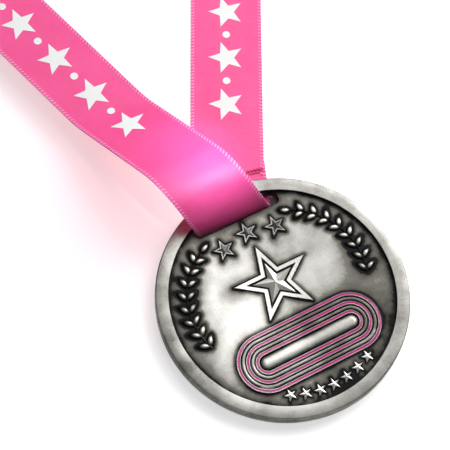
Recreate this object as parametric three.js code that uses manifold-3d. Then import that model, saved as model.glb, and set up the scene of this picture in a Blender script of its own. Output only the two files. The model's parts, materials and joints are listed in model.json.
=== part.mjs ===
// Sports finisher medal: a die-cast medal with a slot in its top edge, soft enamel in its relief,
// and a satin neck ribbon that is looped through the slot, sewn to itself behind it and folded up.
// Units are millimetres. +Z is up from the table, +Y runs from the medal towards its ribbon, and
// the origin is the centre of the floor of the round recess in the medal's back.
import * as THREE from "three";
import { mergeVertices } from "three/addons/utils/BufferGeometryUtils.js";
import Module from "manifold-3d";

const wasm = await Module();
wasm.setup();

const degree = Math.PI / 180;

// The casting
const medalDiameter = 70;
const medalThickness = 4.3;
const rimWidth = 3.65;
const rimDepth = 1.1; // from the rim's top down to the field
const rimEdgeRadius = 0.5;
const rimFootRadius = 0.35;
const backEdgeChamfer = 0.5;
const backRecessDiameter = 45;
const backRecessDepth = 0.6;

// The slot
const slotEndRoom = 5.2; // how much longer the slot is than the ribbon is wide
const slotHeight = 3.7;
const slotCornerRadius = 1.2;
const slotBarWidth = 6.2; // from the slot's upper side to the medal's edge

// The ribbon
const ribbonWidth = 20.8;
const ribbonThickness = 0.4;
const ribbonLength = 900; // the whole strip, end to end
const wrapAngle = 19.1 * degree; // how far each strand leans away from square to its creases
const wrapSkew = -2.9 * degree; // how far the creases turn out of the slot's direction
const slotBendRadius = 1.2;
const humpSink = 0.11; // how far below the rim's top the ribbon starts to curve over
const humpRadius = 13;
const humpFall = 21 * degree;
const landingRadius = 20;
const backStrandLean = 28 * degree; // from +Y
const ribbonEndRoom = 0.2; // between the ribbon's left edge and the slot's end
const ribbonSlotGap = 0.25; // between the ribbon and the slot's lower side
const rimLift = 0.22; // between the ribbon and the rim that it lifts off the table

// The folded length of the ribbon
const foldedRuns = 7;
const foldGap = 0.45; // between two layers
const foldRoom = 97; // from the medal's edge to the middle line of the runs

// The seam that closes the ribbon into a loop
const seamRoom = 4.3; // from the medal's edge to the middle of the stitches
const seamTurn = -12 * degree; // how far the stitches turn out of the slot's direction
const tailLength = 4.4; // the lower end, past the stitches
const seamMargin = 0.65; // the upper end, past the stitches
const seamShift = -0.83; // how far to the side the upper end was sewn down
const plyGap = 0.05;
const riseLength = 12; // from the lower end to where the upper end starts to climb
const riseRadius = 40;
const threadDiameter = 0.3;
const stitchPitch = 1.5; // one stitch to each side
const stitchSway = 0.76; // from side to side, between the middles of the thread
const stitchEdgeRoom = 0.4;

// Where the ribbon's strip is divided, measured from the medal's edge, and the gap left there
const loopBackRoom = 1.6;
const loopFrontRoom = 30;
const foldedEndShare = 0.67; // of the ribbon's width, from the outermost creases to the cuts
const cutGap = 0.3;

// The relief on the medal's face, drawn for a field of this radius and scaled to the real one
const artFieldRadius = 31.35;
const reliefSink = 0.2; // how far each raised shape is let into the field
const starCentre = 4.4;
const starRadius = 6.3;
const starHeight = 1.0;
const starEdgeHeight = 0.35;
const starOutlineRadius = 11.6;
const starOutlineWidth = 1.1;
const starOutlineHeight = 0.5;
const insetStarRadius = 2.1;
const insetStarBorder = 0.38;
const insetStarHeight = 0.5;
const insetStarDistance = 20.7;
const insetStarSpread = 23 * degree;
const dotStarCount = 7;
const dotStarRadius = 1.85;
const dotStarDistance = 28.2;
const dotStarPitch = 4.1;
const dotStarHeight = 0.6;
const dotStarEdgeHeight = 0.25;

// The running track
const trackCentre = -14.9;
const trackStraight = 26;
const trackOuterRadius = 7.9; // to the middle of the outer line
const trackLineCount = 3;
const trackLinePitch = 2.55;
const trackLineWidth = 1;
const trackLineHeight = 0.5;
const enamelWidth = 0.62;
const enamelDepth = 0.36;
const enamelGap = 0.03;
const enamelDrop = 0.05; // how far the enamel's surface lies below its metal border
const laneHeight = 0.45;
const laneEdgeRoom = 0.12;
const laneCrown = 0.3;

// The laurel branches
const laurelBaseAngle = -9.5 * degree; // from +X
const laurelTipAngle = 56 * degree;
const laurelBaseRadius = 24.8;
const laurelTipRadius = 25.6;
const laurelBow = 1.1; // how far the stem swells outwards between its ends
const laurelPairs = 8;
const stemWidth = 0.5;
const stemHeight = 0.4;
const leafLength = 4.1;
const leafWidth = 2.05;
const leafHeight = 0.62;
const leafSpread = 46 * degree;
const leafInset = 0.15;

// Facets
const rimSteps = 112;
const edgeSteps = 3;
const cornerSteps = 5;
const crownSteps = 2;
const leafSides = 6;
const threadSides = 6;
const stripSamples = 600; // along the folded length, where its layers' gap is measured
const cutTries = 40; // halvings of the range in which a cut is looked for
const bendStep = 14 * degree;
const trackArcSteps = 14;
const stitchSteps = 8; // along the thread of one stitch to each side
const stemSteps = 14;
const cutOverrun = 1; // how far every cutting tool runs past the face that it cuts
const weldDistance = 1e-4;

// Half the angle of a five-pointed star's point, and of the notch between two points
const starPointAngle = 18 * degree;
const starNotchAngle = 54 * degree;

const medalRadius = medalDiameter / 2;
const fieldRadius = medalRadius - rimWidth;
const backZ = -backRecessDepth;
const rimZ = backZ + medalThickness;
const fieldZ = rimZ - rimDepth;
const slotLength = ribbonWidth + slotEndRoom;
const slotTop = medalRadius - slotBarWidth;
const slotBottom = slotTop - slotHeight;
const artScale = fieldRadius / artFieldRadius;
const seamDistance = medalRadius + seamRoom;
const loopBackEnd = medalRadius + loopBackRoom;
const loopFrontEnd = medalRadius + loopFrontRoom;
const foldDistance = medalRadius + foldRoom;
const foldPitch = ribbonThickness + foldGap;
const foldedEndRoom = ribbonWidth * foldedEndShare;

// The medal leans on the ribbon that passes under its rim, so it lies a little out of level.
const backFlatRadius = medalRadius - backEdgeChamfer;
const lean = Math.asin((ribbonThickness + rimLift) / (2 * backFlatRadius));
const tableZ = -(backFlatRadius * Math.sin(lean) + backRecessDepth * Math.cos(lean));

const materials = {
  casting: new THREE.MeshStandardMaterial({ color: 0x8f8e8d, roughness: 0.36, metalness: 1 }),
  pinkEnamel: new THREE.MeshStandardMaterial({ color: 0xb4307a, roughness: 0.18, metalness: 0 }),
  blackEnamel: new THREE.MeshStandardMaterial({ color: 0x17171a, roughness: 0.2, metalness: 0 }),
  satin: new THREE.MeshStandardMaterial({
    color: 0xff5fa2,
    roughness: 0.45,
    metalness: 0,
    side: THREE.DoubleSide,
  }),
  thread: new THREE.MeshStandardMaterial({ color: 0xc22d5e, roughness: 0.7, metalness: 0 }),
};

// Solids and meshes

function solidOf(geometry) {
  const bare = geometry.index ? geometry.toNonIndexed() : geometry.clone();
  bare.deleteAttribute("normal");
  bare.deleteAttribute("uv");
  const merged = mergeVertices(bare, weldDistance);
  return new wasm.Manifold(
    new wasm.Mesh({
      numProp: 3,
      vertProperties: merged.attributes.position.array,
      triVerts: new Uint32Array(merged.index.array),
    }),
  );
}

function geometryOf(solid) {
  const { vertProperties, triVerts } = solid.getMesh();
  const geometry = new THREE.BufferGeometry();
  geometry.setAttribute("position", new THREE.BufferAttribute(vertProperties, 3));
  geometry.setIndex(new THREE.BufferAttribute(triVerts, 1));
  geometry.computeVertexNormals();
  return geometry;
}

function meshOf(name, geometry, material) {
  const mesh = new THREE.Mesh(geometry, material);
  mesh.name = name;
  return mesh;
}

function join(solids) {
  return solids.reduce((whole, next) => whole.add(next));
}

// A flat shape extruded between two heights.
function slab(shape, bottom, top, curveSegments = cornerSteps) {
  const geometry = new THREE.ExtrudeGeometry(shape, {
    depth: top - bottom,
    bevelEnabled: false,
    curveSegments,
  });
  return geometry.translate(0, 0, bottom);
}

// A prism or loft through rings of points that all have the same count, closed by its end rings.
function loft(rings) {
  const count = rings[0].length;
  const position = rings.flat().flatMap((point) => [point.x, point.y, point.z]);
  const index = [];
  for (let r = 0; r + 1 < rings.length; r++) {
    for (let i = 0; i < count; i++) {
      const a = r * count + i;
      const b = r * count + ((i + 1) % count);
      index.push(a, b, b + count, a, b + count, a + count);
    }
  }
  const last = (rings.length - 1) * count;
  for (let i = 1; i + 1 < count; i++) {
    index.push(0, i + 1, i, last, last + i, last + i + 1);
  }
  const geometry = new THREE.BufferGeometry();
  geometry.setAttribute("position", new THREE.Float32BufferAttribute(position, 3));
  geometry.setIndex(index);
  geometry.computeVertexNormals();
  return geometry;
}

// The casting's parts

function castingBlank() {
  const edge = rimEdgeRadius;
  const foot = rimFootRadius;
  const profile = new THREE.Path();
  profile.moveTo(0, 0);
  profile.lineTo(backRecessDiameter / 2, 0);
  profile.lineTo(backRecessDiameter / 2, backZ);
  profile.lineTo(backFlatRadius, backZ);
  profile.lineTo(medalRadius, backZ + backEdgeChamfer);
  profile.lineTo(medalRadius, rimZ - edge);
  profile.absarc(medalRadius - edge, rimZ - edge, edge, 0, Math.PI / 2, false);
  profile.lineTo(fieldRadius, rimZ);
  profile.lineTo(fieldRadius, fieldZ + foot);
  profile.absarc(fieldRadius - foot, fieldZ + foot, foot, 0, -Math.PI / 2, true);
  profile.lineTo(0, fieldZ);
  const points = profile.getPoints(edgeSteps);
  return new THREE.LatheGeometry(points, rimSteps).rotateX(Math.PI / 2);
}

function slotShape() {
  const x = slotLength / 2 - slotCornerRadius;
  const low = slotBottom + slotCornerRadius;
  const high = slotTop - slotCornerRadius;
  const shape = new THREE.Shape();
  shape.absarc(x, low, slotCornerRadius, -Math.PI / 2, 0, false);
  shape.absarc(x, high, slotCornerRadius, 0, Math.PI / 2, false);
  shape.absarc(-x, high, slotCornerRadius, Math.PI / 2, Math.PI, false);
  shape.absarc(-x, low, slotCornerRadius, Math.PI, 1.5 * Math.PI, false);
  shape.closePath();
  return shape;
}

// The ten corners of a five-pointed star, one point up.
function starPoints(radius, centreX, centreY) {
  const innerShare = Math.sin(starPointAngle) / Math.sin(starNotchAngle);
  return Array.from({ length: 10 }, (_, i) => {
    const reach = i % 2 ? radius * innerShare : radius;
    const angle = Math.PI / 2 + (i * Math.PI) / 5;
    return new THREE.Vector2(
      centreX + reach * Math.cos(angle),
      centreY + reach * Math.sin(angle),
    );
  });
}

// The radius of a star whose sides lie further out than another's by an offset.
function starOffset(radius, offset) {
  return radius + offset / Math.sin(starPointAngle);
}

// A star with ten sloping facets that rise to its middle.
function facetedStar(radius, centreX, centreY, edgeHeight, height) {
  const corners = starPoints(radius, centreX, centreY);
  const ring = (z) => corners.map((corner) => new THREE.Vector3(corner.x, corner.y, z));
  const low = ring(fieldZ - reliefSink);
  const high = ring(fieldZ + edgeHeight);
  const apex = new THREE.Vector3(centreX, centreY, fieldZ + height);
  const foot = new THREE.Vector3(centreX, centreY, fieldZ - reliefSink);
  const position = [];
  low.forEach((corner, i) => {
    const next = (i + 1) % low.length;
    const faces = [low[next], corner, foot, corner, low[next], high[next]];
    faces.push(corner, high[next], high[i], high[i], high[next], apex);
    position.push(...faces.flatMap((point) => [point.x, point.y, point.z]));
  });
  const geometry = new THREE.BufferGeometry();
  geometry.setAttribute("position", new THREE.Float32BufferAttribute(position, 3));
  return solidOf(geometry);
}

function centreStar() {
  const y = starCentre * artScale;
  const outline = new THREE.Shape(starPoints(starOutlineRadius * artScale, 0, y));
  const holeRadius = starOffset(starOutlineRadius, -starOutlineWidth) * artScale;
  const hole = starPoints(holeRadius, 0, y);
  outline.holes.push(new THREE.Path(hole.reverse()));
  return join([
    facetedStar(starRadius * artScale, 0, y, starEdgeHeight, starHeight),
    solidOf(slab(outline, fieldZ - reliefSink, fieldZ + starOutlineHeight)),
  ]);
}

// The three small stars under the slot: a metal border round a pool of black enamel.
function insetStarPlaces() {
  return [-1, 0, 1].map((side) => {
    const angle = Math.PI / 2 - side * insetStarSpread;
    const reach = insetStarDistance * artScale;
    return new THREE.Vector2(reach * Math.cos(angle), reach * Math.sin(angle));
  });
}

function insetStar(place, radius, bottom, top) {
  return slab(new THREE.Shape(starPoints(radius, place.x, place.y)), bottom, top);
}

function dotStars() {
  const reach = dotStarDistance * artScale;
  const step = dotStarPitch / dotStarDistance;
  return Array.from({ length: dotStarCount }, (_, i) => {
    const angle = -Math.PI / 2 + (i - (dotStarCount - 1) / 2) * step;
    const x = reach * Math.cos(angle);
    const y = reach * Math.sin(angle);
    return facetedStar(dotStarRadius * artScale, x, y, dotStarEdgeHeight, dotStarHeight);
  });
}

// A stadium, the outline of a running track, at one radius of its round ends.
function stadiumPath(radius, PathType = THREE.Path) {
  const half = (trackStraight * artScale) / 2;
  const y = trackCentre * artScale;
  const path = new PathType();
  path.absarc(half, y, radius, -Math.PI / 2, Math.PI / 2, false);
  path.absarc(-half, y, radius, Math.PI / 2, 1.5 * Math.PI, false);
  path.closePath();
  return path;
}

function stadiumRing(middle, width) {
  const shape = stadiumPath(middle + width / 2, THREE.Shape);
  shape.holes.push(stadiumPath(middle - width / 2));
  return shape;
}

function trackLineRadius(line) {
  return (trackOuterRadius - line * trackLinePitch) * artScale;
}

// A band or a pad with rounded upper edges, for the lanes between the lines and the infield.
function crowned(shape) {
  const geometry = new THREE.ExtrudeGeometry(shape, {
    depth: reliefSink + laneHeight - laneCrown,
    bevelThickness: laneCrown,
    bevelSize: laneCrown,
    bevelOffset: -laneCrown,
    bevelSegments: crownSteps,
    curveSegments: trackArcSteps,
  });
  return solidOf(geometry.translate(0, 0, fieldZ - reliefSink));
}

function trackRelief() {
  const lines = [];
  const lanes = [];
  for (let line = 0; line < trackLineCount; line++) {
    const middle = trackLineRadius(line);
    const ring = stadiumRing(middle, trackLineWidth);
    lines.push(
      solidOf(slab(ring, fieldZ - reliefSink, fieldZ + trackLineHeight, trackArcSteps)),
    );
    const inner = middle - trackLineWidth / 2 - laneEdgeRoom;
    if (line + 1 < trackLineCount) {
      const outer = trackLineRadius(line + 1) + trackLineWidth / 2 + laneEdgeRoom;
      lanes.push(crowned(stadiumRing((inner + outer) / 2, inner - outer)));
    } else {
      lanes.push(crowned(stadiumPath(inner, THREE.Shape)));
    }
  }
  return [...lines, ...lanes];
}

function trackEnamel(line, width, bottom, top) {
  return slab(stadiumRing(trackLineRadius(line), width), bottom, top, trackArcSteps);
}

// A laurel stem's place and direction, at a share of the way from its base to its tip.
function laurelPoint(share) {
  const angle = THREE.MathUtils.lerp(laurelBaseAngle, laurelTipAngle, share);
  const bow = laurelBow * Math.sin(Math.PI * share);
  const reach = THREE.MathUtils.lerp(laurelBaseRadius, laurelTipRadius, share) + bow;
  return new THREE.Vector2(Math.cos(angle), Math.sin(angle)).multiplyScalar(reach * artScale);
}

class LaurelStem extends THREE.Curve {
  getPoint(share, target = new THREE.Vector3()) {
    const point = laurelPoint(share);
    return target.set(point.x, point.y, fieldZ);
  }
}

function laurelStem() {
  const halfWidth = stemWidth / 2;
  const section = new THREE.Shape();
  section.moveTo(reliefSink, -halfWidth);
  section.lineTo(reliefSink, halfWidth);
  section.lineTo(-stemHeight, 0);
  section.closePath();
  return solidOf(
    new THREE.ExtrudeGeometry(section, { steps: stemSteps, extrudePath: new LaurelStem() }),
  );
}

// A leaf is a spindle with few sides, half of it let into the field, with one ridge on top.
function leaf(root, angle) {
  const widthShares = [0, 0.62, 1, 0.86, 0.5, 0];
  const points = widthShares.map(
    (width, i) => new THREE.Vector2(width / 2, i / (widthShares.length - 1)),
  );
  const geometry = new THREE.LatheGeometry(points, leafSides).rotateZ(-Math.PI / 2);
  geometry.scale(leafLength * artScale, leafWidth * artScale, 2 * leafHeight);
  geometry.rotateZ(angle).translate(root.x, root.y, fieldZ);
  return solidOf(geometry);
}

function laurelBranch() {
  const pieces = [laurelStem()];
  for (let i = 0; i <= laurelPairs; i++) {
    const share = i / laurelPairs;
    const root = laurelPoint(share);
    const step = laurelPoint(share + 1e-3).sub(root);
    const forward = step.angle();
    if (i === laurelPairs) {
      pieces.push(leaf(root, forward));
      continue;
    }
    for (const side of [-1, 1]) {
      const angle = forward + side * leafSpread;
      const inset = new THREE.Vector2(Math.cos(angle), Math.sin(angle));
      pieces.push(leaf(root.clone().addScaledVector(inset, -leafInset), angle));
    }
  }
  return join(pieces);
}

function medalBody() {
  const borders = insetStarPlaces().map((place) => {
    const radius = starOffset(insetStarRadius, insetStarBorder) * artScale;
    return solidOf(insetStar(place, radius, fieldZ - reliefSink, fieldZ + insetStarHeight));
  });
  const branch = laurelBranch();
  const relief = [
    centreStar(),
    ...borders,
    ...dotStars(),
    ...trackRelief(),
    branch,
    branch.mirror([1, 0, 0]),
  ];
  const cuts = [solidOf(slab(slotShape(), backZ - cutOverrun, rimZ + cutOverrun))];
  const above = cutOverrun;
  for (const place of insetStarPlaces()) {
    const top = fieldZ + insetStarHeight;
    cuts.push(solidOf(insetStar(place, insetStarRadius * artScale, top - enamelDepth, top + above)));
  }
  for (let line = 0; line < trackLineCount; line++) {
    const top = fieldZ + trackLineHeight;
    cuts.push(solidOf(trackEnamel(line, enamelWidth, top - enamelDepth, top + above)));
  }
  let body = solidOf(castingBlank());
  if (body.volume() < 0) {
    throw new Error("the casting's profile runs the wrong way round");
  }
  body = join([body, ...relief]);
  return cuts.reduce((whole, cut) => whole.subtract(cut), body);
}

function enamelMeshes() {
  const meshes = [];
  const lineNames = ["outer", "middle", "inner"];
  for (let line = 0; line < trackLineCount; line++) {
    const top = fieldZ + trackLineHeight - enamelDrop;
    const bottom = fieldZ + trackLineHeight - enamelDepth + enamelGap;
    const pool = trackEnamel(line, enamelWidth - 2 * enamelGap, bottom, top);
    const name = "track_enamel_" + (lineNames[line] ?? line);
    meshes.push(meshOf(name, pool, materials.pinkEnamel));
  }
  const starNames = ["left", "middle", "right"];
  insetStarPlaces().forEach((place, i) => {
    const top = fieldZ + insetStarHeight - enamelDrop;
    const bottom = fieldZ + insetStarHeight - enamelDepth + enamelGap;
    const radius = starOffset(insetStarRadius * artScale, -enamelGap);
    const pool = insetStar(place, radius, bottom, top);
    meshes.push(meshOf("star_enamel_" + starNames[i], pool, materials.blackEnamel));
  });
  return meshes;
}

// The ribbon

// A strip that is bent and folded without stretching. A point of the flat strip is (along, across,
// above). Each bend is a crease line across the strip, at an angle to square, that is rolled over a
// radius. From the last bend back to the first, each one turns everything ahead of it.
class FoldedStrip {
  constructor(origin, heading, up) {
    const across = new THREE.Vector3().crossVectors(up, heading);
    this.frame = new THREE.Matrix4().makeBasis(heading, across, up).setPosition(origin);
    this.length = 0;
    this.bends = [];
    this.rows = [];
  }

  straight(length) {
    this.length += length;
    return this;
  }

  bend(turn, radius, crease) {
    const roll = Math.abs(turn) * radius;
    const forward = new THREE.Vector3(Math.cos(crease), Math.sin(crease), 0);
    const axis = new THREE.Vector3(Math.sin(crease), -Math.cos(crease), 0);
    const centre = new THREE.Vector3(this.length, 0, Math.sign(turn) * radius);
    this.bends.push({ at: this.length, turn, crease, roll, forward, axis, centre });
    const steps = Math.max(2, Math.ceil(Math.abs(turn) / bendStep));
    const along = roll / Math.cos(crease);
    for (let i = 0; i <= steps; i++) {
      this.rows.push({ at: this.length + (along * i) / steps, crease });
    }
    this.length += along;
    return this;
  }

  place(along, across, above) {
    const point = new THREE.Vector3(along, across, above);
    for (const bend of [...this.bends].reverse()) {
      const ahead =
        (along - bend.at) * Math.cos(bend.crease) + across * Math.sin(bend.crease);
      if (ahead <= 0) continue;
      const rolled = Math.min(ahead, bend.roll);
      point.addScaledVector(bend.forward, -rolled).sub(bend.centre);
      point.applyAxisAngle(bend.axis, (bend.turn * rolled) / bend.roll).add(bend.centre);
    }
    return point.applyMatrix4(this.frame);
  }

  // A direction of the flat strip, turned by every bend so far.
  turned(direction) {
    for (const bend of [...this.bends].reverse()) {
      direction.applyAxisAngle(bend.axis, bend.turn);
    }
    return direction.transformDirection(this.frame);
  }

  end() {
    return this.place(this.length, 0, 0);
  }

  heading() {
    return this.turned(new THREE.Vector3(1, 0, 0));
  }

  up() {
    return this.turned(new THREE.Vector3(0, 0, 1));
  }

  // Runs straight on to a place along Y.
  straightToY(y) {
    return this.straight((y - this.end().y) / this.heading().y);
  }

  // The angle on the flat strip from straight ahead to a level direction.
  angleTo(direction) {
    const ahead = this.heading();
    const across = this.up().cross(ahead);
    return Math.atan2(direction.dot(across), direction.dot(ahead));
  }

  // Folds flat, downwards, onto a new level heading.
  foldUnder(heading, radius) {
    const crease = this.angleTo(this.heading().sub(heading));
    return this.bend(-Math.sign(this.up().z) * Math.PI, radius, crease);
  }

  // The solid between two cuts, each one { at, crease }.
  piece(from, to, width, thickness) {
    const between = this.rows.filter((row) => row.at > from.at && row.at < to.at);
    const corners = [
      [-width / 2, -thickness / 2],
      [width / 2, -thickness / 2],
      [width / 2, thickness / 2],
      [-width / 2, thickness / 2],
    ];
    const rings = [from, ...between, to].map((row) =>
      corners.map(([across, above]) =>
        this.place(row.at - across * Math.tan(row.crease), across, above),
      ),
    );
    return loft(rings);
  }
}

function levelHeading(angle) {
  return new THREE.Vector3(Math.cos(angle), Math.sin(angle), 0);
}

const creaseHeading = levelHeading(wrapSkew);
const creaseSquare = levelHeading(wrapSkew + Math.PI / 2);
const seamHeading = levelHeading(seamTurn);
const seamSquare = levelHeading(seamTurn + Math.PI / 2);
const ribbonMiddleZ = tableZ + ribbonThickness / 2;
const slotRise = rimZ - humpSink - ribbonMiddleZ - slotBendRadius; // the upright run

// Where the middle of the ribbon stands in the slot: its left edge keeps its room at the slot's end
// where the strip leaves the slot, and its lowest corner keeps its gap to the slot's lower side.
const obliqueWidth = ribbonWidth / Math.cos(wrapAngle);
const slotDrift = Math.tan(wrapAngle) * (rimZ - tableZ - slotBendRadius);
const slotPlace = new THREE.Vector3(
  -slotLength / 2 + ribbonEndRoom + obliqueWidth / 2 + slotDrift,
  slotBottom +
    ribbonSlotGap +
    ribbonThickness / 2 +
    (obliqueWidth / 2) * Math.sin(Math.abs(wrapSkew)),
  ribbonMiddleZ,
);
const slotAlong = slotPlace.dot(creaseHeading);
const slotReach = slotPlace.dot(creaseSquare);

// The strip starts at its lower end behind the seam and runs towards the slot.
function startRibbon() {
  const run = seamDistance + tailLength - slotReach - slotBendRadius;
  const quarter = (slotBendRadius * Math.PI) / 2;
  const along = slotAlong + Math.tan(wrapAngle) * (run + quarter);
  const origin = creaseHeading
    .clone()
    .multiplyScalar(along)
    .addScaledVector(creaseSquare, seamDistance + tailLength)
    .setZ(ribbonMiddleZ);
  const heading = levelHeading(wrapSkew - Math.PI / 2 - wrapAngle);
  const strip = new FoldedStrip(origin, heading, new THREE.Vector3(0, 0, 1));
  return strip.straight(run / Math.cos(wrapAngle));
}

const foldLevels = foldedRuns + 1; // the strands' levels, one below and one above the runs
const frontStrandZ = ribbonMiddleZ + foldLevels * foldPitch;

function layRibbon(span, overhang) {
  const strip = startRibbon();
  const crease = wrapAngle;
  const humpZ = ribbonMiddleZ + slotBendRadius + slotRise + humpRadius;
  const eased = (humpRadius + landingRadius) * (1 - Math.cos(humpFall));
  const descent = (humpZ - frontStrandZ - eased) / Math.sin(humpFall);
  strip
    .bend(Math.PI / 2, slotBendRadius, crease)
    .straight(slotRise / Math.cos(crease))
    .bend(Math.PI / 2 + humpFall, humpRadius, crease)
    .straight(descent / Math.cos(crease))
    .bend(-humpFall, landingRadius, crease)
    .straightToY(foldDistance);
  const foldedFrom = strip.length;
  for (let run = 0; run < foldedRuns; run++) {
    strip.foldUnder(levelHeading(run % 2 ? Math.PI : 0), foldPitch / 2);
    const outer = run === 0 || run === foldedRuns - 1;
    strip.straight(span + (outer ? overhang : 2 * overhang));
  }
  strip.foldUnder(levelHeading(-Math.PI / 2 - backStrandLean), foldPitch / 2);
  const foldedTo = strip.length;
  const rise = ribbonThickness + plyGap;
  const climb = Math.acos(1 - rise / (2 * riseRadius));
  const upwards = Math.sign(strip.up().z);
  strip
    .straightToY(seamDistance + tailLength + riseLength)
    .bend(upwards * climb, riseRadius, 0)
    .bend(-upwards * climb, riseRadius, 0)
    .straightToY(seamDistance - seamMargin);
  return { strip, foldedFrom, foldedTo };
}

// The place of the seam's middle on the lower end, moved to the side by the seam's shift.
function seamMiddle() {
  const strip = startRibbon();
  const start = strip.place(0, 0, 0);
  const heading = strip.heading();
  const along = (seamDistance - start.y) / heading.y;
  return start.addScaledVector(heading, along).add(new THREE.Vector3(seamShift, 0, 0));
}

// The runs are as long as it takes for the two ends to meet at the seam, and reach past the strands
// by whatever the strip's whole length leaves over.
function closedRibbon() {
  const open = layRibbon(0, 0).strip;
  const end = open.end();
  const heading = open.heading();
  const middle = seamMiddle();
  const span = middle.x - end.x - ((middle.y - end.y) * heading.x) / heading.y;
  const overhangs = 2 * foldedRuns - 2;
  const overhang = (ribbonLength - layRibbon(span, 0).strip.length) / overhangs;
  return layRibbon(span, overhang);
}

// The least gap between any two layers of the folded length, measured between points of the strip.
function leastLayerGap({ strip, foldedFrom, foldedTo }) {
  const samples = [];
  const alongStep = (foldedTo - foldedFrom) / stripSamples;
  for (let at = foldedFrom; at <= foldedTo; at += alongStep) {
    for (const share of [-0.5, -0.25, 0, 0.25, 0.5]) {
      samples.push({ at, point: strip.place(at, share * ribbonWidth, 0) });
    }
  }
  let least = Infinity;
  samples.forEach((one, i) => {
    for (const other of samples.slice(i + 1)) {
      if (other.at - one.at > ribbonWidth) {
        least = Math.min(least, one.point.distanceTo(other.point));
      }
    }
  });
  return least - ribbonThickness;
}

// The row at which the strip crosses a distance from the medal's centre, cut along the creases.
function cutAt(strip, from, to, distance) {
  let low = from;
  let high = to;
  const side = Math.sign(strip.place(to, 0, 0).dot(creaseSquare) - distance);
  for (let i = 0; i < cutTries; i++) {
    const middle = (low + high) / 2;
    const reached = strip.place(middle, 0, 0).dot(creaseSquare) - distance;
    if (Math.sign(reached) === side) high = middle;
    else low = middle;
  }
  return { at: (low + high) / 2, crease: wrapAngle };
}

function ribbonMeshes() {
  const laid = closedRibbon();
  const { strip, foldedFrom, foldedTo } = laid;
  console.log("least gap between ribbon layers, mm:", leastLayerGap(laid).toFixed(3));
  const [slotBend, hump] = strip.bends;
  const backCut = cutAt(strip, 0, slotBend.at, loopBackEnd);
  const frontCut = cutAt(strip, hump.at + hump.roll, foldedFrom, loopFrontEnd);
  const foldCuts = [
    { at: foldedFrom - foldedEndRoom, crease: 0 },
    { at: foldedTo + foldedEndRoom, crease: 0 },
  ];
  const after = (cut) => ({ ...cut, at: cut.at + cutGap });
  const upperEnd = { at: strip.length, crease: strip.angleTo(seamSquare.clone().negate()) };
  const stretches = [
    ["ribbon_lower_end", { at: 0, crease: 0 }, backCut],
    ["ribbon_slot_loop", after(backCut), frontCut],
    ["ribbon_front_strand", after(frontCut), foldCuts[0]],
    ["ribbon_folded_length", after(foldCuts[0]), foldCuts[1]],
    ["ribbon_back_strand", after(foldCuts[1]), upperEnd],
  ];
  return stretches.map(([name, from, to]) =>
    meshOf(name, strip.piece(from, to, ribbonWidth, ribbonThickness), materials.satin),
  );
}

// A thread that sways from side to side as it crosses the ribbon.
class ZigzagThread extends THREE.Curve {
  constructor(middle, reach, stitches) {
    super();
    Object.assign(this, { middle, reach, stitches });
  }

  getPoint(share, target = new THREE.Vector3()) {
    const sway = (stitchSway / 2) * Math.sin(2 * Math.PI * this.stitches * share);
    return target
      .copy(this.middle)
      .addScaledVector(seamHeading, this.reach * (2 * share - 1))
      .addScaledVector(seamSquare, sway);
  }
}

// A row of zigzag stitches along the edge of the ribbon's upper end.
function seamThread() {
  const topZ = tableZ + 2 * ribbonThickness + plyGap;
  const middle = seamMiddle().setZ(topZ + plyGap + threadDiameter / 2);
  const reach = ribbonWidth / Math.cos(backStrandLean + seamTurn) / 2 - stitchEdgeRoom;
  const stitches = Math.round((2 * reach) / stitchPitch);
  const section = new THREE.Shape();
  section.absarc(0, 0, threadDiameter / 2, 0, 2 * Math.PI, false);
  const geometry = new THREE.ExtrudeGeometry(section, {
    curveSegments: threadSides / 2,
    steps: stitches * stitchSteps,
    extrudePath: new ZigzagThread(middle, reach, stitches),
  });
  return meshOf("seam_thread", geometry, materials.thread);
}

const medal = new THREE.Group();
medal.rotation.x = lean;
medal.add(meshOf("medal_body", geometryOf(medalBody()), materials.casting), ...enamelMeshes());

const group = new THREE.Group();
group.add(medal, ...ribbonMeshes(), seamThread());

export default group;
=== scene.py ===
"""Looks for the sports finisher medal: a plated casting with soft enamel on a folded satin ribbon.

Shapes are worked out in millimetres and turned into metres when a mesh is made. The medal's
pieces are drawn level, as they are cast, and then leaned onto the ribbon under the rim.
"""

import json
import math

import bmesh
import bpy
import numpy as np
from mathutils import Euler, Matrix, Vector
from mathutils.kdtree import KDTree


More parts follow.
